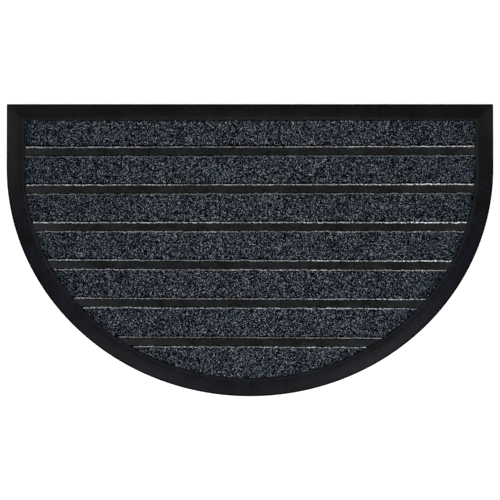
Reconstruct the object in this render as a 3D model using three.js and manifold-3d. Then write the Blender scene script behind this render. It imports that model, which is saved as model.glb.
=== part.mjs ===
// Half round doormat: a black rubber tray with a bevelled border and six flat cross bars, and seven
// strips of pile carpet that fill the pockets between the bars.
// Millimetres, +Z up. The straight edge is at +Y and the round side at -Y. The origin is on the floor,
// at the middle of the outline's box.

import * as THREE from 'three';
import { mergeVertices } from 'three/addons/utils/BufferGeometryUtils.js';
import Module from 'manifold-3d';

const wasm = await Module();
wasm.setup();

// Outline: a straight edge, two short straight sides and half an ellipse
const WIDTH = 762;
const DEPTH = 457;
const STRAIGHT_SIDE = 99.5;

// Border: widths seen from above, and heights above the floor
const BORDER_WIDTH = 28.7;
const TOP_BORDER_WIDTH = 26;
const EDGE_HEIGHT = 1.8;
const SLOPE_MIDDLE_HEIGHT = 5;
const SLOPE_MIDDLE_FROM_EDGE = 12;
const CREST_HEIGHT = 7;
const CREST_FROM_EDGE = 24.6;
const CREST_ROUNDING = 1.8;
const CREST_DROP = 0.25;
const EDGE_ROUNDING = 0.5;
const BACKING = 1.8;
const LIP_FOOT_HEIGHT = 4.3;

// Cross bars: each middle line's distance from the straight edge, and its rise towards +X per mm
const BARS = [
  { fromEdge: 74.4, rise: 0.0023 },
  { fromEdge: 133.4, rise: 0.0017 },
  { fromEdge: 192.8, rise: 0 },
  { fromEdge: 252.4, rise: -0.0031 },
  { fromEdge: 312.2, rise: -0.0037 },
  { fromEdge: 372.6, rise: -0.0045 },
];
const BAR_WIDTH = 11.8;
const BAR_HEIGHT = 4.4;
const BAR_ROUNDING = 0.6;

// Carpet strips: the sealed rim along each edge, and the pile inside it
const CLEARANCE = 0.3;
const RIM_WIDTH = 2.5;
const RIM_HEIGHT = 5.2;
const RIM_ROUNDING = 0.8;
const PILE_HEIGHT = 6.6;
const PILE_ROUNDING = 1.2;
const PILE_LEAN = 0.2;

// Smoothness
const CURVE_STEPS = 96;
const STRIP_END_STEPS = 12;
const ROUND_STEPS = 3;
const BISECTIONS = 40;

const HALF_WIDTH = WIDTH / 2;
const HALF_DEPTH = DEPTH / 2;
const ELLIPSE_Y = HALF_DEPTH - STRAIGHT_SIDE;
const ELLIPSE_DEPTH = HALF_DEPTH + ELLIPSE_Y;
const RIM_OUTER = BAR_WIDTH / 2 + CLEARANCE;

// A point of the right side, `inset` mm in from the edge. t is 0 where the half ellipse begins,
// PI / 2 at its lowest point, and negative up the straight side.
function sidePoint(t, inset) {
  if (t <= 0) {
    return new THREE.Vector2(HALF_WIDTH - inset, ELLIPSE_Y - t * ELLIPSE_DEPTH);
  }
  const inward = new THREE.Vector2(-ELLIPSE_DEPTH * Math.cos(t), HALF_WIDTH * Math.sin(t)).normalize();
  return new THREE.Vector2(HALF_WIDTH * Math.cos(t), ELLIPSE_Y - ELLIPSE_DEPTH * Math.sin(t))
    .addScaledVector(inward, inset);
}

// The y of the border's line along the straight edge, where the border is narrower
function topY(inset) {
  return HALF_DEPTH - inset * TOP_BORDER_WIDTH / BORDER_WIDTH;
}

// The t at which the inset side of one half, side = 1 or -1, meets the line y = at + rise * x
function whereMeets({ at, rise }, inset, side) {
  let above = -STRAIGHT_SIDE / ELLIPSE_DEPTH;
  let below = Math.PI / 2;
  for (let i = 0; i < BISECTIONS; i++) {
    const middle = (above + below) / 2;
    const p = sidePoint(middle, inset);
    if (p.y > at + rise * side * p.x) {
      above = middle;
    } else {
      below = middle;
    }
  }
  return (above + below) / 2;
}

// A closed geometry from rings of Vector3, all of one length, with a flat cap on the first and the last.
// A ring runs anticlockwise seen from above, down the left side and up the right. Each cap is made of rows
// that join the two sides.
function loft(rings) {
  const count = rings[0].length;
  const positions = rings.flat().flatMap((p) => [p.x, p.y, p.z]);
  const index = [];
  for (let r = 0; r + 1 < rings.length; r++) {
    for (let i = 0; i < count; i++) {
      const a = r * count + i;
      const b = r * count + (i + 1) % count;
      index.push(a, b, b + count, a, b + count, a + count);
    }
  }
  const last = (rings.length - 1) * count;
  for (let i = 0; 2 * i + 2 < count; i++) {
    const j = count - 1 - i;
    for (const [a, b, c] of [[i, i + 1, j], [i + 1, j - 1, j]]) {
      if (new Set([a, b, c]).size === 3) {
        index.push(last + a, last + b, last + c, a, c, b);
      }
    }
  }
  const geometry = new THREE.BufferGeometry();
  geometry.setAttribute('position', new THREE.Float32BufferAttribute(positions, 3));
  geometry.setIndex(index);
  return geometry;
}

// A ring from points that run down each side, both lists given for x > 0
function ringFromSides(right, left, z) {
  const mirrored = left.map((p) => new THREE.Vector3(-p.x, p.y, z));
  const down = right.map((p) => new THREE.Vector3(p.x, p.y, z));
  return [...mirrored, ...down.reverse()];
}

// One level of the tray: the whole outline, inset and at height z
function trayRing({ inset, z }) {
  const steps = CURVE_STEPS / 2;
  const corner = new THREE.Vector2(HALF_WIDTH - inset, topY(inset));
  const curve = Array.from({ length: steps + 1 }, (_, i) => sidePoint(i / steps * Math.PI / 2, inset));
  const right = [corner, ...curve];
  return ringFromSides(right, right.slice(0, -1), z);
}

// The tray without its bars, from the underside round the border and down to the pockets' floor
function trayGeometry() {
  return loft([
    { inset: EDGE_ROUNDING, z: 0 },
    { inset: 0, z: EDGE_ROUNDING },
    { inset: 0, z: EDGE_HEIGHT },
    { inset: EDGE_ROUNDING, z: EDGE_HEIGHT + EDGE_ROUNDING / 2 },
    { inset: SLOPE_MIDDLE_FROM_EDGE, z: SLOPE_MIDDLE_HEIGHT },
    { inset: CREST_FROM_EDGE - CREST_ROUNDING, z: CREST_HEIGHT - CREST_DROP },
    { inset: CREST_FROM_EDGE, z: CREST_HEIGHT },
    { inset: CREST_FROM_EDGE + CREST_ROUNDING, z: CREST_HEIGHT - CREST_DROP },
    { inset: BORDER_WIDTH, z: LIP_FOOT_HEIGHT },
    { inset: BORDER_WIDTH, z: BACKING },
  ].map(trayRing));
}

// The middle line of a bar, moved by `offset` towards +Y
function barLine({ fromEdge, rise }, offset) {
  return { at: HALF_DEPTH - fromEdge + offset, rise };
}

// A bar, reaching into the border at both ends and into the backing below, with rounded shoulders
function barGeometry(bar) {
  const endInset = CREST_FROM_EDGE + CREST_ROUNDING;
  const levels = [{ halfWidth: BAR_WIDTH / 2, z: BACKING / 2 }];
  for (let i = 0; i <= ROUND_STEPS; i++) {
    const angle = i / ROUND_STEPS * Math.PI / 2;
    levels.push({
      halfWidth: BAR_WIDTH / 2 - BAR_ROUNDING * (1 - Math.cos(angle)),
      z: BAR_HEIGHT - BAR_ROUNDING * (1 - Math.sin(angle)),
    });
  }
  return loft(levels.map(({ halfWidth, z }) => {
    const [right, left] = [1, -1].map((side) => [halfWidth, -halfWidth].map((offset) => (
      sidePoint(whereMeets(barLine(bar, offset), endInset, side), endInset))));
    return ringFromSides(right, left, z);
  }));
}

// One level of a carpet strip, drawn in by `atBar` along its bars and by `atBorder` elsewhere
function stripRing(number, { atBar, atBorder, z }) {
  const inset = BORDER_WIDTH + CLEARANCE + atBorder;
  const last = number === BARS.length;
  const upper = number === 0
    ? { at: topY(BORDER_WIDTH) - CLEARANCE - atBorder, rise: 0 }
    : barLine(BARS[number - 1], -RIM_OUTER - atBar);
  const [right, left] = [1, -1].map((side) => {
    const start = whereMeets(upper, inset, side);
    const end = last ? Math.PI / 2 : whereMeets(barLine(BARS[number], RIM_OUTER + atBar), inset, side);
    return Array.from({ length: STRIP_END_STEPS + 1 }, (_, i) => (
      sidePoint(THREE.MathUtils.lerp(start, end, i / STRIP_END_STEPS), inset)));
  });
  return ringFromSides(right, last ? left.slice(0, -1) : left, z);
}

// A carpet strip: its backing and sealed rim, with the pile standing inside the rim
function stripGeometry(number) {
  return loft([
    { atBar: 0, atBorder: 0, z: BACKING + CLEARANCE },
    { atBar: 0, atBorder: 0, z: RIM_HEIGHT - RIM_ROUNDING },
    { atBar: RIM_ROUNDING, atBorder: PILE_LEAN, z: RIM_HEIGHT },
    { atBar: RIM_WIDTH - RIM_ROUNDING, atBorder: 2 * PILE_LEAN, z: RIM_HEIGHT },
    { atBar: RIM_WIDTH, atBorder: 3 * PILE_LEAN, z: PILE_HEIGHT - PILE_ROUNDING },
    { atBar: RIM_WIDTH + PILE_ROUNDING, atBorder: PILE_ROUNDING, z: PILE_HEIGHT },
  ].map((level) => stripRing(number, level)));
}

// Joining the bars to the tray
function toManifold(geometry) {
  const merged = mergeVertices(geometry);
  return new wasm.Manifold(new wasm.Mesh({
    numProp: 3,
    vertProperties: merged.attributes.position.array,
    triVerts: new Uint32Array(merged.index.array),
  }));
}

function toGeometry(manifold) {
  const mesh = manifold.getMesh();
  const geometry = new THREE.BufferGeometry();
  geometry.setAttribute('position', new THREE.BufferAttribute(mesh.vertProperties, 3));
  geometry.setIndex(new THREE.BufferAttribute(mesh.triVerts, 1));
  return geometry;
}

function joined(geometries) {
  const [first, ...others] = geometries.map(toManifold);
  return toGeometry(others.reduce((whole, part) => whole.add(part), first));
}

function namedMesh(name, geometry, material) {
  geometry.computeVertexNormals();
  const mesh = new THREE.Mesh(geometry, material);
  mesh.name = name;
  return mesh;
}

const doormat = new THREE.Group();

// Rubber: black, moulded, with a dull sheen
const rubber = new THREE.MeshStandardMaterial({ color: '#1f1e22', roughness: 0.6, metalness: 0 });
doormat.add(namedMesh('rubber_tray', joined([trayGeometry(), ...BARS.map(barGeometry)]), rubber));

// Carpet: grey and near black polypropylene pile, mixed
for (let number = 0; number <= BARS.length; number++) {
  const pile = new THREE.MeshStandardMaterial({ color: '#31363c', roughness: 0.95, metalness: 0 });
  doormat.add(namedMesh(`carpet_strip_${number + 1}`, stripGeometry(number), pile));
}

export default doormat;
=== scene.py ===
# %% [markdown]
# # Half round doormat
# The real mat is one black rubber moulding, a shallow tray with a bevelled border and six flat
# cross bars, and seven strips of grey pile carpet that lie in the pockets between the bars.
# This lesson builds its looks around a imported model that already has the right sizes. It goes
# from the camera to the materials and the rubber moulding, then to the carpet's backings, sealed
# edges and pile, and ends with the floor and light.
# The straight edge lies at +Y and the round side at -Y, and every length is in metres.

# %% Load the frame
import math

import bmesh
import bpy
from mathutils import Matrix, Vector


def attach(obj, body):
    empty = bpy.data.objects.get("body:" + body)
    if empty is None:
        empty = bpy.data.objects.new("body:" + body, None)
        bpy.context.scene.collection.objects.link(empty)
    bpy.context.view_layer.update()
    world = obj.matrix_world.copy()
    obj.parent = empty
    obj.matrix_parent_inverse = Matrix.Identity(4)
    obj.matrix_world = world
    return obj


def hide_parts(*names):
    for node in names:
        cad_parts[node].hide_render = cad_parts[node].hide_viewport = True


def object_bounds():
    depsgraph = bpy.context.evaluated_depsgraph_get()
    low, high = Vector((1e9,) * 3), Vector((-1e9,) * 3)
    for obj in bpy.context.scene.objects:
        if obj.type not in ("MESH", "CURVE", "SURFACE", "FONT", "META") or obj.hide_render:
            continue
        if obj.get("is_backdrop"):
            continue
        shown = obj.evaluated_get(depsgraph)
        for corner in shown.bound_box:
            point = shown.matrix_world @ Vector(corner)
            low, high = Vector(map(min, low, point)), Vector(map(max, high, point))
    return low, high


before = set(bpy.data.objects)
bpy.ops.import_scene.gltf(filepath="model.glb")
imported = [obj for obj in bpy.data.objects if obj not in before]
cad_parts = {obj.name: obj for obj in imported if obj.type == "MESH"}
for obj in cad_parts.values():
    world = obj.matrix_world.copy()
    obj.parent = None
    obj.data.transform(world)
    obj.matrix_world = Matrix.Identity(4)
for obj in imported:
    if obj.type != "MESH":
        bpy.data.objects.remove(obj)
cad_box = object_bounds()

MM = 0.001
STRAIGHT_SIDE = 99.5 * MM
BORDER_WIDTH = 28.7 * MM
TOP_BORDER_WIDTH = 26 * MM
low, high = cad_box
half_width = (high.x - low.x) / 2
half_depth = (high.y - low.y) / 2
ellipse_y = half_depth - STRAIGHT_SIDE
ellipse_depth = half_depth + ellipse_y
print(f"box: {half_width * 2000:.0f} x {half_depth * 2000:.0f} x {high.z * 1000:.1f} mm")

# %% [markdown]
# ## Camera
# The mat is seen from straight above, with the lens a little towards the round side. An 85 mm
# lens about 1.85 metres up gives the slight perspective of a product shot. The view is aimed at
# the middle of the mat, so no lens shift is needed.

# %% Camera
FRAME_WIDTH = 782.7 * MM
CAMERA_TOWARDS_ROUND_SIDE = 25 * MM

camera = bpy.data.objects.new("camera", bpy.data.cameras.new("camera"))
bpy.context.scene.collection.objects.link(camera)
camera.data.lens = 85
camera.data.sensor_width = 36
distance = FRAME_WIDTH / camera.data.sensor_width * camera.data.lens
camera.location = (0, -CAMERA_TOWARDS_ROUND_SIDE, distance)
camera.rotation_euler = (math.atan2(CAMERA_TOWARDS_ROUND_SIDE, distance), 0, 0)
camera.data.clip_end = 50
bpy.context.scene.camera = camera
print(f"camera {distance:.3f} m up")

# %% [markdown]
# ## Helpers
# Modelling by hand has a rhythm: nothing selected, one object active, edit mode on, some faces
# or edges picked, an operator run. These helpers are that rhythm in code, and the rest of the
# lesson reads like the menu commands that a modeller would choose.


# %% Helpers for modelling
def deselect():
    """Object mode, with nothing selected."""
    if bpy.context.object and bpy.context.object.mode != "OBJECT":
        bpy.ops.object.mode_set(mode="OBJECT")
    bpy.ops.object.select_all(action="DESELECT")


def make_active(obj):
    """Selects obj alone and makes it active."""
    deselect()
    obj.select_set(True)
    bpy.context.view_layer.objects.active = obj
    return obj


def added(name):
    """Names the primitive that was just added, and its mesh."""
    obj = bpy.context.object
    obj.name = name
    obj.data.name = name
    return obj


def select(obj, kind, wanted):
    """In edit mode, selects the faces, edges or verts (kind) for which wanted(element) is true."""
    bpy.ops.mesh.select_mode(type={"faces": "FACE", "edges": "EDGE", "verts": "VERT"}[kind])
    bpy.ops.mesh.select_all(action="DESELECT")
    mesh = bmesh.from_edit_mesh(obj.data)
    for element in getattr(mesh, kind):
        if wanted(element):
            element.select_set(True)
    mesh.select_flush_mode()
    bmesh.update_edit_mesh(obj.data)


def face_up(obj):
    """In edit mode, turns a flat face that looks down, and leaves it selected."""
    bpy.ops.mesh.select_mode(type="FACE")
    select(obj, "faces", lambda face: face.normal.z < 0)
    bpy.ops.mesh.flip_normals()
    bpy.ops.mesh.select_all(action="SELECT")


def apply_place(obj):
    """Puts the object's place, turn and scale into its mesh."""
    make_active(obj)
    bpy.ops.object.transform_apply(location=True, rotation=True, scale=True)
    return obj


def triangles(obj):
    """How many triangles the mesh has."""
    return sum(len(face.vertices) - 2 for face in obj.data.polygons)


# %% [markdown]
# ## Materials
# A material starts from the real one and from how its surface was made. Colours are sRGB hex
# values, as a colour picker shows them, and one function turns them into the linear values that
# shaders add up. A second function adds a node, sets it and links it, and that is all that the
# trees below need. Patterns read Object coordinates, so one unit is one metre and a scale is one
# divided by the pattern's real size.


# %% Helpers for materials
def linear(hex_colour):
    """An sRGB hex colour as linear red, green, blue and alpha."""
    values = [int(hex_colour[i:i + 2], 16) / 255 for i in (1, 3, 5)]
    return tuple(v / 12.92 if v <= 0.04045 else ((v + 0.055) / 1.055) ** 2.4 for v in values) + (1,)


def node(tree, kind, values=None, links=None, **settings):
    """Adds a node with its settings, the values of its inputs and the outputs linked to its inputs."""
    made = tree.nodes.new(kind)
    for name, value in settings.items():
        setattr(made, name, value)
    for name, value in (values or {}).items():
        made.inputs[name].default_value = value
    for name, output in (links or {}).items():
        tree.links.new(output, made.inputs[name])
    return made


def set_stops(ramp, stops):
    """Gives a colour ramp its stops, each a position and a hex colour."""
    while len(ramp.color_ramp.elements) < len(stops):
        ramp.color_ramp.elements.new(0.5)
    for element, (position, colour) in zip(ramp.color_ramp.elements, stops):
        element.position = position
        element.color = linear(colour)


def new_material(name):
    """A material with a Principled BSDF, its tree and the Object coordinates."""
    material = bpy.data.materials.new(name)
    material.use_nodes = True
    tree = material.node_tree
    place = node(tree, "ShaderNodeTexCoord").outputs["Object"]
    return material, tree, tree.nodes["Principled BSDF"], place


# %% [markdown]
# ### Moulded rubber
# Black styrene butadiene rubber is cured in a steel mould, so it copies the tool's fine blasted
# grain. That gives a nearly black, dull surface with a soft wide sheen, mottled where the compound
# bloomed. Grain of half a millimetre is bump, and the mottle is noise at two sizes, 5 and 30 mm.
# The same rubber shows four finishes. The border is the smoothest, and round the curve it has a
# faint violet bloom, a haze of wax that rises to the surface of rubber as it ages. Its outer edge
# is trimmed after moulding and painted dead black: painted shade at the mat's foot. The steep lip
# above the carpet is painted paler: painted light against the shade of the pile. The bars' tops
# are rougher and painted paler against the pile's shade. Shoes sweep them clean in the middle,
# and near the rim they are paler still: partly dust and partly a painted highlight, more on the left.
# How near the rim a point lies is worked out from its place: 0 at the middle of the half ellipse
# and 1 at the outline. Above that middle only the distance sideways counts.
# The tone also changes at the mitres, where the straight edge's run of the border meets a side's.
# Close to the corner the rubber is painted black before the mitre and paler after it: painted
# shade and painted light, as the two slopes would reflect differently. A point is past the
# mitre when its distance to the straight edge, divided by that to the side, is larger than the
# ratio of the border's widths there. The bloom, the dust with its painted highlight, and the
# mitres follow the photo's tones, and the bloom and the dust are a guess at their cause.

# %% Rubber
RUBBER_GRAIN = 0.5 * MM
RUBBER_MOTTLE = 5 * MM
RUBBER_CLOUD = 30 * MM
RUBBER_IOR = 1.5
GRAIN_DEPTH = 0.2 * MM
# Near the rim the bars are paler: partly dust and partly a painted highlight, stronger on the left.
DUST_AND_HIGHLIGHT_COLOUR = "#3a3b3d"
SIDEWAYS_ONLY_ABOVE = (2, 0, 2)
DUST_AND_HIGHLIGHT_FROM = 0.76
DUST_AND_HIGHLIGHT_FULL = 0.95
PAINTED_HIGHLIGHT_LEFT = 0.04
BLOOM_FROM = ellipse_y + 20 * MM
BLOOM_FULL = ellipse_y - 90 * MM
MITRE_REACH = 70 * MM
MITRE_FULL = 18 * MM
MITRE_SOFTNESS = 0.06
# Painted shade before the mitre and painted light past it, near the corner.
BEFORE_MITRE_PAINTED_SHADE = "#000000"
PAST_MITRE_PAINTED_LIGHT = "#100f10"


def painted_light_at_mitres(tree, parts, tone):
    """The tone with painted shade and light at the mitres: black before them on the straight edge, paler
    after.
    """
    from_middle = node(tree, "ShaderNodeMath", links={0: parts.outputs["X"]}, operation="ABSOLUTE")
    to_side = node(tree, "ShaderNodeMath", {0: half_width}, {1: from_middle.outputs["Value"]},
                   operation="SUBTRACT")
    to_top = node(tree, "ShaderNodeMath", {0: half_depth}, {1: parts.outputs["Y"]}, operation="SUBTRACT")
    slope = node(tree, "ShaderNodeMath", links={0: to_top.outputs["Value"], 1: to_side.outputs["Value"]},
                 operation="DIVIDE")
    mitre = TOP_BORDER_WIDTH / BORDER_WIDTH
    on_side = node(tree, "ShaderNodeMapRange",
                   {"From Min": mitre - MITRE_SOFTNESS, "From Max": mitre + MITRE_SOFTNESS},
                   {"Value": slope.outputs["Value"]})
    along = node(tree, "ShaderNodeMath", links={0: to_top.outputs["Value"], 1: to_side.outputs["Value"]},
                 operation="MAXIMUM")
    near = node(tree, "ShaderNodeMapRange", {"From Min": MITRE_REACH, "From Max": MITRE_FULL},
                {"Value": along.outputs["Value"]}, interpolation_type="SMOOTHSTEP")
    changed = node(tree, "ShaderNodeMix", {"A": linear(BEFORE_MITRE_PAINTED_SHADE), "B": linear(PAST_MITRE_PAINTED_LIGHT)},
                   {"Factor": on_side.outputs["Result"]}, data_type="RGBA")
    return node(tree, "ShaderNodeMix", links={"Factor": near.outputs["Result"], "A": tone.outputs["Result"],
                                              "B": changed.outputs["Result"]}, data_type="RGBA")


def black_rubber(name, dark, pale, roughness, specular, dust_and_highlight=0, bloom=None, mitred=False):
    """Black rubber that wanders from dark to pale, with bloom round the curve, or dust and a painted
    highlight near the rim.
    """
    material, tree, shader, place = new_material(name)
    cloud = node(tree, "ShaderNodeTexNoise", {"Scale": 1 / RUBBER_CLOUD, "Detail": 2}, {"Vector": place})
    mottle = node(tree, "ShaderNodeTexNoise", {"Scale": 1 / RUBBER_MOTTLE, "Detail": 2}, {"Vector": place})
    both = node(tree, "ShaderNodeMath", links={0: cloud.outputs["Fac"], 1: mottle.outputs["Fac"]},
                operation="ADD")
    share = node(tree, "ShaderNodeMapRange", {"From Min": 0.7, "From Max": 1.3},
                 {"Value": both.outputs["Value"]})
    parts = node(tree, "ShaderNodeSeparateXYZ", links={"Vector": place})
    on_curve = node(tree, "ShaderNodeMapRange", {"From Min": BLOOM_FROM, "From Max": BLOOM_FULL},
                    {"Value": parts.outputs["Y"]}, interpolation_type="SMOOTHSTEP")
    palest = node(tree, "ShaderNodeMix", {"A": linear(pale), "B": linear(bloom or pale)},
                  {"Factor": on_curve.outputs["Result"]}, data_type="RGBA")
    tone = node(tree, "ShaderNodeMix", {"A": linear(dark)},
                {"Factor": share.outputs["Result"], "B": palest.outputs["Result"]}, data_type="RGBA")
    if mitred:
        tone = painted_light_at_mitres(tree, parts, tone)
    from_middle = node(tree, "ShaderNodeMapping",
                       {"Location": (-PAINTED_HIGHLIGHT_LEFT, -ellipse_y / ellipse_depth, 0),
                        "Scale": (1 / half_width, 1 / ellipse_depth, 0)}, {"Vector": place})
    below = node(tree, "ShaderNodeVectorMath", {1: SIDEWAYS_ONLY_ABOVE}, {0: from_middle.outputs["Vector"]},
                 operation="MINIMUM")
    reach = node(tree, "ShaderNodeVectorMath", links={0: below.outputs["Vector"]}, operation="LENGTH")
    dust_and_highlight_share = node(tree, "ShaderNodeMapRange", {"From Min": DUST_AND_HIGHLIGHT_FROM, "From Max": DUST_AND_HIGHLIGHT_FULL, "To Max": dust_and_highlight},
                 {"Value": reach.outputs["Value"]}, interpolation_type="SMOOTHSTEP")
    with_dust_and_highlight = node(tree, "ShaderNodeMix", {"B": linear(DUST_AND_HIGHLIGHT_COLOUR)},
                  {"Factor": dust_and_highlight_share.outputs["Result"], "A": tone.outputs["Result"]}, data_type="RGBA")
    grain = node(tree, "ShaderNodeTexNoise", {"Scale": 1 / RUBBER_GRAIN, "Detail": 2}, {"Vector": place})
    bump = node(tree, "ShaderNodeBump", {"Strength": 0.35, "Distance": GRAIN_DEPTH},
                {"Height": grain.outputs["Fac"]})
    tree.links.new(with_dust_and_highlight.outputs["Result"], shader.inputs["Base Color"])
    tree.links.new(bump.outputs["Normal"], shader.inputs["Normal"])
    shader.inputs["Roughness"].default_value = roughness
    shader.inputs["IOR"].default_value = RUBBER_IOR
    shader.inputs["Specular IOR Level"].default_value = specular
    return material


rubber = black_rubber("moulded_black_rubber", "#000000", "#0e0d0f", 0.35, 0.1, bloom="#0e0e1b",
                      mitred=True)
# The outer edge is painted dead black: painted shade at the mat's foot.
edge_rubber = black_rubber("outer_edge_rubber_painted_shade", "#000000", "#030303", 0.9, 0.02)
# The lip is painted paler: painted light against the shade of the pile.
lip_rubber = black_rubber("lip_rubber_painted_light", "#0e0e0f", "#28292b", 0.6, 0.08)
# The bars are painted paler against the pile's shade, and near the rim partly dust and partly a painted
# highlight.
bar_rubber = black_rubber("grained_rubber_painted_light", "#070708", "#202122", 0.7, 0.09, dust_and_highlight=0.22)

# %% [markdown]
# ### Polypropylene pile
# The carpet's yarn is solution dyed polypropylene: some ends are near black and some a cool
# grey, and each loop of yarn shows its own tone. Every loop carries a number from 0 to about 1, made
# where the loops are scattered, and a colour ramp turns that number into its tone.

# %% Pile
FILAMENT = 0.35 * MM
FILAMENT_DEPTH = 0.15 * MM
PILE_PAINTED_SHADE_FULL = 5.2 * MM
PILE_PAINTED_SHADE_NONE = 6.5 * MM

pile_yarn, tree, shader, place = new_material("solution_dyed_polypropylene_pile")
tone = node(tree, "ShaderNodeAttribute", attribute_name="tone")
ramp = node(tree, "ShaderNodeValToRGB", links={"Fac": tone.outputs["Fac"]})
stops = [(0.0, "#1a222c"), (0.3, "#3f4955"), (0.6, "#636d79"), (0.85, "#7c858d"), (1.0, "#9ca3a9")]
set_stops(ramp, stops)
fine = node(tree, "ShaderNodeTexNoise", {"Scale": 1 / FILAMENT, "Detail": 2}, {"Vector": place})
bump = node(tree, "ShaderNodeBump", {"Strength": 0.5, "Distance": FILAMENT_DEPTH},
            {"Height": fine.outputs["Fac"]})
# Painted shade: the yarn darkens to blue black low in the pile, where the loops shade each other.
height = node(tree, "ShaderNodeSeparateXYZ", links={"Vector": place})
depth = node(tree, "ShaderNodeMapRange", {"From Min": PILE_PAINTED_SHADE_FULL, "From Max": PILE_PAINTED_SHADE_NONE},
             {"Value": height.outputs["Z"]}, interpolation_type="SMOOTHSTEP")
painted_depth_shade = node(tree, "ShaderNodeMix", {"A": linear("#02060b")},
              {"Factor": depth.outputs["Result"], "B": ramp.outputs["Color"]}, data_type="RGBA")
tree.links.new(painted_depth_shade.outputs["Result"], shader.inputs["Base Color"])
tree.links.new(bump.outputs["Normal"], shader.inputs["Normal"])
shader.inputs["Roughness"].default_value = 0.75
shader.inputs["Specular IOR Level"].default_value = 0.03

# %% [markdown]
# ### Carpet backing
# Between the loops one looks down on the primary backing and the yarn's roots. It is black
# and matt, with a felt-like unevenness, and its near black is partly painted shade of the gaps.

# %% Backing
FELT = 1.5 * MM
FELT_DEPTH = 0.4 * MM

backing_felt, tree, shader, place = new_material("black_backing_painted_shade")
felt = node(tree, "ShaderNodeTexNoise", {"Scale": 1 / FELT, "Detail": 4}, {"Vector": place})
# The near black is partly the backing's own colour and partly painted shade of the gaps between the loops.
tone = node(tree, "ShaderNodeMix", {"A": linear("#000102"), "B": linear("#04080c")},
            {"Factor": felt.outputs["Fac"]}, data_type="RGBA")
bump = node(tree, "ShaderNodeBump", {"Strength": 0.8, "Distance": FELT_DEPTH},
            {"Height": felt.outputs["Fac"]})
tree.links.new(tone.outputs["Result"], shader.inputs["Base Color"])
tree.links.new(bump.outputs["Normal"], shader.inputs["Normal"])
shader.inputs["Roughness"].default_value = 0.9
shader.inputs["Specular IOR Level"].default_value = 0.05

# %% [markdown]
# ### Sealed edge
# A hot knife cuts the strips, and it melts the yarn's ends together along the cut. The sealed
# edge is a thin bead, smoother and paler than the pile, with painted glints: near white streaks
# in its colour. The number `melt_and_light`, carried by the bead's points, says how pale it is
# painted there, partly the melted yarn and partly painted light, and a slow noise stands for the
# knife's heat, which drifts as it travels.

# %% Sealed edge
GLINT_DASH_LENGTH = 3.6 * MM
KNIFE_DRIFT = 80 * MM

sealed_edge_painted_glints, tree, shader, place = new_material("heat_sealed_polypropylene_painted_glints")
along = node(tree, "ShaderNodeMapping", {"Scale": (1, 2, 2)}, {"Vector": place})
glint_dashes = node(tree, "ShaderNodeTexNoise", {"Scale": 1 / GLINT_DASH_LENGTH, "Detail": 2},
              {"Vector": along.outputs["Vector"]})
# The ramp's near white streaks are painted glints on the bead.
ramp = node(tree, "ShaderNodeValToRGB", links={"Fac": glint_dashes.outputs["Fac"]})
stops = [(0.39, "#181c21"), (0.5, "#8d9299"), (0.61, "#e6e9ee")]
set_stops(ramp, stops)
heat = node(tree, "ShaderNodeTexNoise", {"Scale": 1 / KNIFE_DRIFT, "Detail": 1}, {"Vector": place})
drift = node(tree, "ShaderNodeMapRange", {"From Min": 0.3, "From Max": 0.7, "To Min": 0.5, "To Max": 1.5},
             {"Value": heat.outputs["Fac"]})
melt_and_light = node(tree, "ShaderNodeAttribute", attribute_name="melt_and_light")
pale = node(tree, "ShaderNodeMath", links={0: melt_and_light.outputs["Fac"], 1: drift.outputs["Result"]},
            operation="MULTIPLY")
tone = node(tree, "ShaderNodeMix", {"Factor": 1}, {"A": ramp.outputs["Color"], "B": pale.outputs["Value"]},
            data_type="RGBA", blend_type="MULTIPLY")
tree.links.new(tone.outputs["Result"], shader.inputs["Base Color"])
shader.inputs["Roughness"].default_value = 0.45

# %% [markdown]
# ## The rubber moulding
# The border is a ramp for feet, so its section matters: a low outer edge, a long slope up to a
# rounded crest, and a short lip down to the pocket. A modeller would draw the outline once as
# a flat face, raise it, and inset it again and again, each inset lifted or lowered to the next
# height of the section. Insets keep the loops parallel and give the straight edge its mitred
# corners by themselves. The bars are bevelled blocks joined on by a boolean, because the real
# one is a single moulding.

# %% The outline
CURVE_POINTS = 192


def half_round(name, z):
    """A flat half round face with the mat's outline: half an ellipse, then straight sides."""
    deselect()
    bpy.ops.mesh.primitive_circle_add(vertices=2 * CURVE_POINTS, radius=1, fill_type="NGON",
                                      location=(0, 0, z))
    obj = added(name)
    obj.scale = (half_width, ellipse_depth, 1)
    obj.location.y = ellipse_y
    apply_place(obj)
    bpy.ops.object.mode_set(mode="EDIT")
    bpy.ops.mesh.select_all(action="SELECT")
    bpy.ops.mesh.bisect(plane_co=(0, ellipse_y, z), plane_no=(0, 1, 0), clear_outer=True)
    select(obj, "edges", lambda edge: all(abs(v.co.y - ellipse_y) < 1e-6 for v in edge.verts))
    bpy.ops.mesh.extrude_region_move(TRANSFORM_OT_translate={"value": (0, STRAIGHT_SIDE, 0)})
    bpy.ops.mesh.select_all(action="SELECT")
    bpy.ops.mesh.normals_make_consistent(inside=False)
    bpy.ops.mesh.dissolve_faces()
    face_up(obj)
    return obj


# %% The border's section
BACKING = 1.8 * MM
BORDER_SECTION = [
    # inset, height
    (0.0, 1.5),
    (0.2, 1.85),
    (0.6, 2.05),
    (2.3, 2.55),
    (4.0, 3.05),
    (8.0, 4.1),
    (12.0, 5.05),
    (15.5, 5.8),
    (18.5, 6.35),
    (21.0, 6.72),
    (22.8, 6.91),
    (24.2, 6.96),
    (25.4, 6.86),
    (26.6, 6.58),
    (27.6, 6.15),
    (28.3, 5.6),
    (28.7, 4.9),
    (28.7, 1.8),
]

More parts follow.
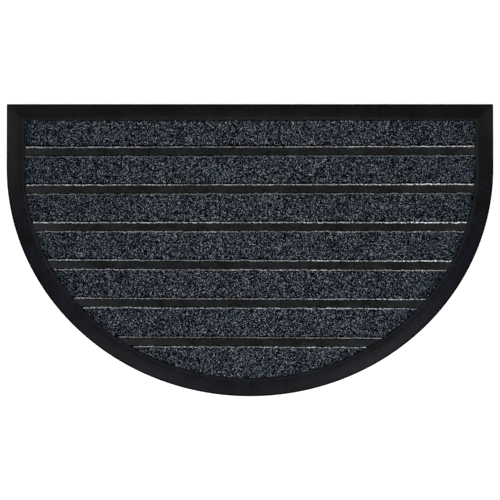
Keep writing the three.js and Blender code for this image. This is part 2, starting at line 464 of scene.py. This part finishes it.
mat = half_round("rubber_mat", 0)
bpy.ops.mesh.extrude_region_move(TRANSFORM_OT_translate={"value": (0, 0, BORDER_SECTION[0][1] * MM)})
for (inset, height), (next_inset, next_height) in zip(BORDER_SECTION, BORDER_SECTION[1:]):
    rise = (next_height - height) * MM
    if next_inset > inset:
        bpy.ops.mesh.inset(thickness=(next_inset - inset) * MM, depth=rise)
    else:
        bpy.ops.mesh.extrude_region_move(TRANSFORM_OT_translate={"value": (0, 0, rise)})
select(mat, "verts", lambda v: v.co.y > half_depth - BORDER_WIDTH - MM)
bpy.ops.transform.resize(value=(1, TOP_BORDER_WIDTH / BORDER_WIDTH, 1), center_override=(0, half_depth, 0))
bpy.ops.object.mode_set(mode="OBJECT")
print(f"tray: {triangles(mat)} triangles, {max(v.co.z for v in mat.data.vertices) * 1000:.2f} mm high")

# %% The cross bars
BAR_WIDTH = 11.8 * MM
BAR_HEIGHT = 4.4 * MM
BAR_SHOULDER = 0.7 * MM
BAR_END_INSET = 20 * MM
BARS = [
    # distance from the straight edge in mm, rise towards +X
    (74.4, 0.0023),
    (133.4, 0.0017),
    (192.8, 0.0),
    (252.4, -0.0031),
    (312.2, -0.0037),
    (372.6, -0.0045),
]


def half_length(y, inset):
    """Half the mat's width at y, measured to a line inset from its edge."""
    if y >= ellipse_y:
        return half_width - inset
    share = (ellipse_y - y) / (ellipse_depth - inset)
    return (half_width - inset) * math.sqrt(max(0, 1 - share ** 2))


def bar(number):
    """One cross bar with rounded shoulders. Its square ends are buried in the border."""
    from_edge, rise = BARS[number]
    y = half_depth - from_edge * MM
    length = 2 * half_length(y, BAR_END_INSET)
    bottom = BACKING / 2
    deselect()
    bpy.ops.mesh.primitive_cube_add(size=1, location=(0, y, (bottom + BAR_HEIGHT) / 2),
                                    rotation=(0, 0, math.atan(rise)),
                                    scale=(length, BAR_WIDTH, BAR_HEIGHT - bottom))
    obj = apply_place(added(f"bar_{number + 1}"))
    bpy.ops.object.mode_set(mode="EDIT")
    select(obj, "edges", lambda edge: all(v.co.z > BAR_HEIGHT - MM / 10 for v in edge.verts)
           and edge.calc_length() > length / 2)
    bpy.ops.mesh.bevel(offset=BAR_SHOULDER, segments=4)
    bpy.ops.object.mode_set(mode="OBJECT")
    return obj


blocks = [bar(number) for number in range(len(BARS))]
for block in blocks:
    block.select_set(True)
bpy.ops.object.join()
bars = bpy.context.object

# %% [markdown]
# The boolean wants flat faces, and the quads round the curve are very slightly twisted, so both
# meshes are cut to triangles first. The union then comes out closed.

# %% One moulding
for obj in (mat, bars):
    make_active(obj)
    bpy.ops.object.mode_set(mode="EDIT")
    bpy.ops.mesh.select_all(action="SELECT")
    bpy.ops.mesh.quads_convert_to_tris()
    bpy.ops.object.mode_set(mode="OBJECT")
make_active(mat)
union = mat.modifiers.new("union", "BOOLEAN")
union.operation = "UNION"
union.solver = "EXACT"
union.object = bars
bpy.ops.object.modifier_apply(modifier=union.name)
bpy.data.objects.remove(bars)
mat.data.materials.append(rubber)

# %% Its finishes
EDGE_SHADE_BELOW = 2.4 * MM
FINISHES = [
    # material, and which faces have it, by their slant and their height
    (edge_rubber, lambda normal, z: 0 <= normal.z < 0.99 and z < EDGE_SHADE_BELOW),
    (lip_rubber, lambda normal, z: normal.z < 0.84 and z > BAR_HEIGHT),
    (bar_rubber, lambda normal, z: normal.z > 0.99 and abs(z - BAR_HEIGHT) < MM / 10),
]

bpy.ops.object.mode_set(mode="EDIT")
for slot, (finish, has_it) in enumerate(FINISHES, start=1):
    mat.data.materials.append(finish)
    select(mat, "faces", lambda face: has_it(face.normal, face.calc_center_median().z))
    mat.active_material_index = slot
    bpy.ops.object.material_slot_assign()
bpy.ops.object.mode_set(mode="OBJECT")
bpy.ops.object.shade_smooth_by_angle(angle=math.radians(32))
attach(mat, "root")
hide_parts("rubber_tray")
print(f"mat with bars: {triangles(mat)} triangles")

# %% [markdown]
# ## The carpet strips
# A strip is cut from carpet to the shape of its pocket: the border's curve at both ends and the
# bars' lines along its sides. The same outline face gives each strip: it is inset to the
# pocket, and two bisect cuts along the bars leave the strip between them.

# %% Strip outlines
CLEARANCE = 0.3 * MM
BAR_TO_STRIP = BAR_WIDTH / 2 + CLEARANCE
STRIPS = len(BARS) + 1


def pocket_face(name, z, margin=0):
    """The whole pocket's outline as one flat face, a little clear of the lip."""
    obj = half_round(name, z)
    bpy.ops.mesh.select_mode(type="FACE")
    bpy.ops.mesh.inset(thickness=BORDER_WIDTH + CLEARANCE + margin, depth=0)
    bpy.ops.mesh.select_all(action="INVERT")
    bpy.ops.mesh.delete(type="FACE")
    top = max(v.co.y for v in bmesh.from_edit_mesh(obj.data).verts)
    select(obj, "verts", lambda v: v.co.y > top - 1e-5)
    bpy.ops.transform.translate(value=(0, BORDER_WIDTH - TOP_BORDER_WIDTH, 0))
    bpy.ops.mesh.select_all(action="SELECT")
    return obj


def cut_between_bars(number, from_upper, from_lower, z):
    """Cuts the selected face to strip `number`, at these distances from its upper and lower bar."""
    for index, side in ((number - 1, -1), (number, 1)):
        if 0 <= index < len(BARS):
            from_edge, rise = BARS[index]
            away = from_upper if side < 0 else from_lower
            y = half_depth - from_edge * MM + side * (BAR_TO_STRIP + away)
            bpy.ops.mesh.select_all(action="SELECT")
            bpy.ops.mesh.bisect(plane_co=(0, y, z), plane_no=(-rise, 1, 0),
                                clear_outer=side < 0, clear_inner=side > 0)
    bpy.ops.mesh.select_mode(type="FACE")
    bpy.ops.mesh.select_all(action="SELECT")


# %% Carpet backings
BASE_LOW = BACKING + CLEARANCE
BASE_HIGH = 3.9 * MM
BASE_EDGE = 0.5 * MM

bases = []
for number in range(STRIPS):
    base = pocket_face(f"carpet_base_{number + 1}", BASE_LOW)
    cut_between_bars(number, 0, 0, BASE_LOW)
    bpy.ops.mesh.extrude_region_move(
        TRANSFORM_OT_translate={"value": (0, 0, BASE_HIGH - BASE_LOW - BASE_EDGE)})
    bpy.ops.mesh.inset(thickness=BASE_EDGE, depth=BASE_EDGE)
    bpy.ops.object.mode_set(mode="OBJECT")
    base.data.materials.append(backing_felt)
    bases.append(base)
print("backings:", [triangles(base) for base in bases], "triangles")

# %% [markdown]
# ## Sealed edges
# Along each bar the cut edge of the carpet is melted to a bead. A cylinder laid along the edge
# is subdivided along its length and then displaced by two cloud textures: along its normals, so
# that it swells and thins, and sideways, so that it wavers as a hand cut edge does.

# %% Sealed edges
BEAD_RADIUS = 1.15 * MM
BEAD_HEIGHT = 4.5 * MM
BEAD_STEP = 1.6 * MM
BEAD_LUMP = 3.5 * MM
BEAD_SWELL = 1.1 * MM
BEAD_WAVE = 7 * MM
BEAD_WAVER = {1: 1.5 * MM, -1: 2.6 * MM}
BEAD_FROM_EDGE = {
    # side of the bar: how far from the strip's edge the melt stopped at each bar, in mm
    1: (-0.3, -0.4, -0.2, 0.1, 0.1, 0.1),
    -1: (0.5, 0.3, 0.0, 0.1, 0.1, 0.2),
}
MELT_AND_LIGHT = {
    # side of the bar: how pale the edge is painted at each bar, partly melted yarn and partly painted light,
    # and paler towards the ends and the right, as painted light
    1: ((0.325, 0.495, 0.57, 0.38, 0.32, 0.22), 1.5, 1.6),
    -1: ((0.185, 0.205, 0.355, 0.405, 0.57, 0.525), 0.2, 0.0),
}

lumps = bpy.data.textures.new("melt_lumps", "CLOUDS")
lumps.noise_scale = BEAD_LUMP
lumps.noise_depth = 1
waves = bpy.data.textures.new("melt_waves", "CLOUDS")
waves.noise_scale = BEAD_WAVE
waves.noise_depth = 1


def bead(name, index, side):
    """The bead on one side of a bar: side is 1 for the carpet above the bar, -1 for that below."""
    from_edge, rise = BARS[index]
    middle = BAR_TO_STRIP + BEAD_FROM_EDGE[side][index] * MM + BEAD_RADIUS
    y = half_depth - from_edge * MM + side * middle
    length = 2 * half_length(y, BORDER_WIDTH + BEAD_RADIUS)
    deselect()
    bpy.ops.mesh.primitive_cylinder_add(vertices=8, radius=BEAD_RADIUS, depth=length, end_fill_type="TRIFAN",
                                        location=(0, y, BEAD_HEIGHT),
                                        rotation=(0, math.pi / 2, math.atan(rise)))
    obj = apply_place(added(name))
    bpy.ops.object.mode_set(mode="EDIT")
    cuts = round(math.sqrt(length / BEAD_STEP)) - 1
    for _ in range(2):
        select(obj, "edges", lambda edge: abs(edge.verts[0].co.x - edge.verts[1].co.x) > BEAD_STEP)
        bpy.ops.mesh.subdivide(number_cuts=cuts)
    bpy.ops.object.mode_set(mode="OBJECT")
    for texture, direction, strength in ((lumps, "NORMAL", BEAD_SWELL), (waves, "Y", BEAD_WAVER[side])):
        uneven = obj.modifiers.new(texture.name, "DISPLACE")
        uneven.texture = texture
        uneven.texture_coords = "LOCAL"
        uneven.direction = direction
        uneven.strength = strength
        bpy.ops.object.modifier_apply(modifier=uneven.name)
    bpy.ops.object.shade_smooth()
    obj.data.materials.append(sealed_edge_painted_glints)
    pale, ends, right = MELT_AND_LIGHT[side]
    # Each bar's paleness is partly the melted yarn and partly painted light.
    melt_and_light = obj.data.attributes.new("melt_and_light", "FLOAT", "POINT")
    melt_and_light.data.foreach_set("value", [
        pale[index] * (1 + ends * (v.co.x / half_width) ** 2 + right * v.co.x)
        for v in obj.data.vertices])
    return obj


edges = []
for number in range(STRIPS):
    beads = []
    if number > 0:
        beads.append(bead(f"carpet_edge_{number + 1}", number - 1, -1))
    if number < len(BARS):
        beads.append(bead(f"carpet_edge_{number + 1}", number, 1))
    deselect()
    for obj in beads:
        obj.select_set(True)
    bpy.context.view_layer.objects.active = beads[0]
    if len(beads) > 1:
        bpy.ops.object.join()
    edges.append(beads[0])
print("edges:", [triangles(edge) for edge in edges], "triangles")

# %% [markdown]
# ## The pile
# Yarn is needled through the backing and stands in short bent loops. Seen from above each loop
# is a small light worm with dark between it and the next. Six loops are modelled, each a square
# of yarn spun through half a turn, swayed to one side or in an S. Geometry Nodes then scatter
# them over each strip. Square yarn of four steps is enough at this size, and keeps a strip below
# two hundred thousand triangles.

# %% Yarn loops
SPIN_STEPS = 4
LOOPS = [
    # span, height, yarn width, arc and S-wave sideways, in mm
    (2.85, 2.6, 0.90, 0.0, 0.2),
    (3.4, 2.4, 0.95, 0.55, 0.0),
    (2.5, 2.7, 0.90, 0.2, 0.0),
    (4.0, 2.3, 0.85, 0.2, 0.5),
    (3.2, 2.6, 1.00, -0.5, 0.2),
    (2.65, 2.5, 0.85, -0.2, -0.3),
]

loops = bpy.data.collections.new("yarn_loops")
for count, row in enumerate(LOOPS):
    span, height, width, arc, wave = (value * MM for value in row)
    deselect()
    bpy.ops.mesh.primitive_circle_add(vertices=4, radius=width / math.sqrt(2), fill_type="NGON",
                                      location=(-span / 2, 0, 0), rotation=(0, 0, math.pi / 4))
    loop = apply_place(added(f"yarn_loop_{count + 1}"))
    bpy.ops.object.mode_set(mode="EDIT")
    bpy.ops.mesh.select_all(action="SELECT")
    bpy.ops.mesh.spin(steps=SPIN_STEPS, angle=math.pi, center=(0, 0, 0), axis=(0, -1, 0))
    for step in range(1, SPIN_STEPS):
        turn = step / SPIN_STEPS
        select(loop, "verts", lambda v: abs(math.atan2(v.co.z, -v.co.x) / math.pi - turn) < 0.01)
        sideways = arc * math.sin(math.pi * turn) + wave * math.sin(2 * math.pi * turn)
        bpy.ops.transform.translate(value=(0, sideways, 0))
    for end in (-1, 1):
        select(loop, "verts", lambda v: abs(v.co.z) < MM / 100 and v.co.x * end > 0)
        bpy.ops.mesh.merge(type="CENTER")
    bpy.ops.mesh.select_all(action="SELECT")
    bpy.ops.transform.resize(value=(1, 1, height / (span / 2 + width / 2)), center_override=(0, 0, 0))
    bpy.ops.mesh.normals_make_consistent(inside=False)
    bpy.ops.object.mode_set(mode="OBJECT")
    bpy.ops.object.shade_smooth()
    loop.data.materials.append(pile_yarn)
    loops.objects.link(loop)
    bpy.context.scene.collection.objects.unlink(loop)

# %% [markdown]
# A node group scatters the loops. Poisson scattering keeps a least distance between them, as
# needling does, and each point gets a random turn, tilt, size and tone. The instances are made
# real, and applying the modifier leaves a plain mesh that carries the tone on every point.

# %% Scattering
LOOP_SPACING = 1.5 * MM
LOOP_TILT = math.radians(14)

scatter = bpy.data.node_groups.new("scatter_yarn", "GeometryNodeTree")
scatter.interface.new_socket("Geometry", in_out="INPUT", socket_type="NodeSocketGeometry")
scatter.interface.new_socket("Geometry", in_out="OUTPUT", socket_type="NodeSocketGeometry")
entry = node(scatter, "NodeGroupInput")
points = node(scatter, "GeometryNodeDistributePointsOnFaces",
              {"Distance Min": LOOP_SPACING, "Density Max": 2 / LOOP_SPACING ** 2, "Seed": 7},
              {"Mesh": entry.outputs["Geometry"]}, distribute_method="POISSON")
tone = node(scatter, "FunctionNodeRandomValue", {"Seed": 11}, data_type="FLOAT")
toned = node(scatter, "GeometryNodeStoreNamedAttribute", {"Name": "tone"},
             {"Geometry": points.outputs["Points"], "Value": tone.outputs[1]}, data_type="FLOAT")
turn = node(scatter, "FunctionNodeRandomValue", {"Seed": 12}, data_type="FLOAT_VECTOR")
turn.inputs[0].default_value = (-LOOP_TILT, -LOOP_TILT, 0)
turn.inputs[1].default_value = (LOOP_TILT, LOOP_TILT, 2 * math.pi)
size = node(scatter, "FunctionNodeRandomValue", {2: 0.85, 3: 1.15, "Seed": 13}, data_type="FLOAT")
pick = node(scatter, "FunctionNodeRandomValue", {4: 0, 5: len(LOOPS) - 1, "Seed": 14}, data_type="INT")
source = node(scatter, "GeometryNodeCollectionInfo", {"Collection": loops, "Separate Children": True,
                                                      "Reset Children": True})
placed = node(scatter, "GeometryNodeInstanceOnPoints", {"Pick Instance": True},
              {"Points": toned.outputs["Geometry"], "Instance": source.outputs["Instances"],
               "Instance Index": pick.outputs[2], "Rotation": turn.outputs[0], "Scale": size.outputs[1]})
real = node(scatter, "GeometryNodeRealizeInstances", links={"Geometry": placed.outputs["Instances"]})
node(scatter, "NodeGroupOutput", links={"Geometry": real.outputs["Geometry"]})

# %% Pile on each strip
PILE_ROOT = 3.8 * MM
PILE_FROM_BORDER = 0.7 * MM
PILE_FROM_UPPER_BAR = [2.0 * MM, 2.2 * MM, 2.8 * MM, 3.2 * MM, 3.2 * MM, 3.2 * MM]
PILE_FROM_LOWER_BAR = 4.2 * MM
END_SHADE = 0.4
END_REACH = 14 * MM
# A painted pool of light: the yarn is paler in the middle of the mat.
POOL_OF_LIGHT_MIDDLE = 1.1
POOL_OF_LIGHT_RIM = 0.93


def painted_pool_and_end_shade(x, y):
    """How pale the yarn is painted at a place: a painted pool of light in the middle, and painted shade
    where the strips end.
    """
    across, down = half_width - BORDER_WIDTH, ellipse_depth - BORDER_WIDTH
    u, v = x / across, min(0, y - ellipse_y) / down
    reach = math.hypot(u, v)
    slope = math.hypot(u / across, v / down) / reach
    from_border = max(0, (1 - reach) / slope)
    sideways = abs(u / across) / slope / reach
    shade = END_SHADE * sideways * max(0, 1 - from_border / END_REACH)
    return (POOL_OF_LIGHT_RIM + (POOL_OF_LIGHT_MIDDLE - POOL_OF_LIGHT_RIM) * max(0, 1 - u ** 2)) * (1 - shade)


piles = []
for number in range(STRIPS):
    pile = pocket_face(f"carpet_pile_{number + 1}", PILE_ROOT, PILE_FROM_BORDER)
    cut_between_bars(number, PILE_FROM_UPPER_BAR[number - 1], PILE_FROM_LOWER_BAR, PILE_ROOT)
    bpy.ops.object.mode_set(mode="OBJECT")
    yarn = pile.modifiers.new("yarn", "NODES")
    yarn.node_group = scatter
    bpy.ops.object.modifier_apply(modifier=yarn.name)
    # The tone is multiplied by a painted pool of light in the middle and painted shade at the strip ends.
    tone = pile.data.attributes["tone"].data
    tone.foreach_set("value", [point.value * painted_pool_and_end_shade(v.co.x, v.co.y)
                               for point, v in zip(tone, pile.data.vertices)])
    piles.append(pile)
print("piles:", [triangles(pile) for pile in piles], "triangles")

# %% Each strip's pieces go together
for number, (base, edge, pile) in enumerate(zip(bases, edges, piles)):
    for obj in (base, edge, pile):
        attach(obj, "root")
        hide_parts(f"carpet_strip_{number + 1}")

# %% [markdown]
# ## Floor and light
# A plain pale floor and soft studio light. The surround is a light tent, darker behind the
# straight edge, and its light comes from the world. Soft round lamps stand about the mat, 1.5 to
# 2.2 metres up, the smallest nearly above it. Each is mirrored by one stretch of the border,
# so the slope changes tone as it goes round the curve. Light from the side also draws the loops of
# the pile. The paper glows a little, as a floor lit from below, and that and the Standard view
# keep it white up to the mat.

# %% Floor and light
FLOOR_SIZE = 12
FLOOR_BELOW_MAT = 0.1 * MM
TENT = 0.6
TENT_BEHIND = 0.42
PAPER_GLOW = 0.3

floor_paper, tree, shader, place = new_material("matt_white_paper")
shader.inputs["Base Color"].default_value = linear("#f4f4f4")
shader.inputs["Roughness"].default_value = 0.9
shader.inputs["Emission Color"].default_value = linear("#ffffff")
shader.inputs["Emission Strength"].default_value = PAPER_GLOW
deselect()
bpy.ops.mesh.primitive_plane_add(size=FLOOR_SIZE, location=(0, 0, -FLOOR_BELOW_MAT))
floor = apply_place(added("floor"))
floor.data.materials.append(floor_paper)
floor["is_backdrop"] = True

world = bpy.data.worlds.new("studio")
bpy.context.scene.world = world
world.use_nodes = True
sky = world.node_tree
towards = node(sky, "ShaderNodeTexCoord").outputs["Generated"]
parts = node(sky, "ShaderNodeSeparateXYZ", links={"Vector": towards})
strength = node(sky, "ShaderNodeMapRange",
                {"From Min": 0, "From Max": 0.7, "To Min": TENT, "To Max": TENT_BEHIND},
                {"Value": parts.outputs["Y"]})
sky.links.new(strength.outputs["Result"], sky.nodes["Background"].inputs["Strength"])
sky.nodes["Background"].inputs["Color"].default_value = (1, 1, 1, 1)

LAMPS = [
    # name, place, size across in metres, watts
    ("lamp_left", (-1.85, 0.8, 1.8), 1.0, 8.5),
    ("lamp_front_left", (-0.95, -1.38, 1.8), 1.0, 7.5),
    ("lamp_front", (0, -1.9, 1.8), 0.6, 2.5),
    ("lamp_front_right", (1.0, -1.35, 1.8), 1.0, 11.5),
    ("lamp_right", (1.95, 1.1, 1.5), 0.7, 7),
    ("lamp_top", (0, 0.3, 2.2), 0.5, 6.5),
]
for name, place, across, watts in LAMPS:
    lamp = bpy.data.objects.new(name, bpy.data.lights.new(name, "AREA"))
    bpy.context.scene.collection.objects.link(lamp)
    lamp.data.shape = "DISK"
    lamp.data.size = across
    lamp.data.energy = watts
    lamp.location = place
    lamp.rotation_euler = (-lamp.location).to_track_quat("-Z", "Y").to_euler()
bpy.context.scene.view_settings.view_transform = "Standard"

# %% Size
size = {"cad": [list(corner) for corner in cad_box], "visual": [list(corner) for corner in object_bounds()]}
print("size:", size)
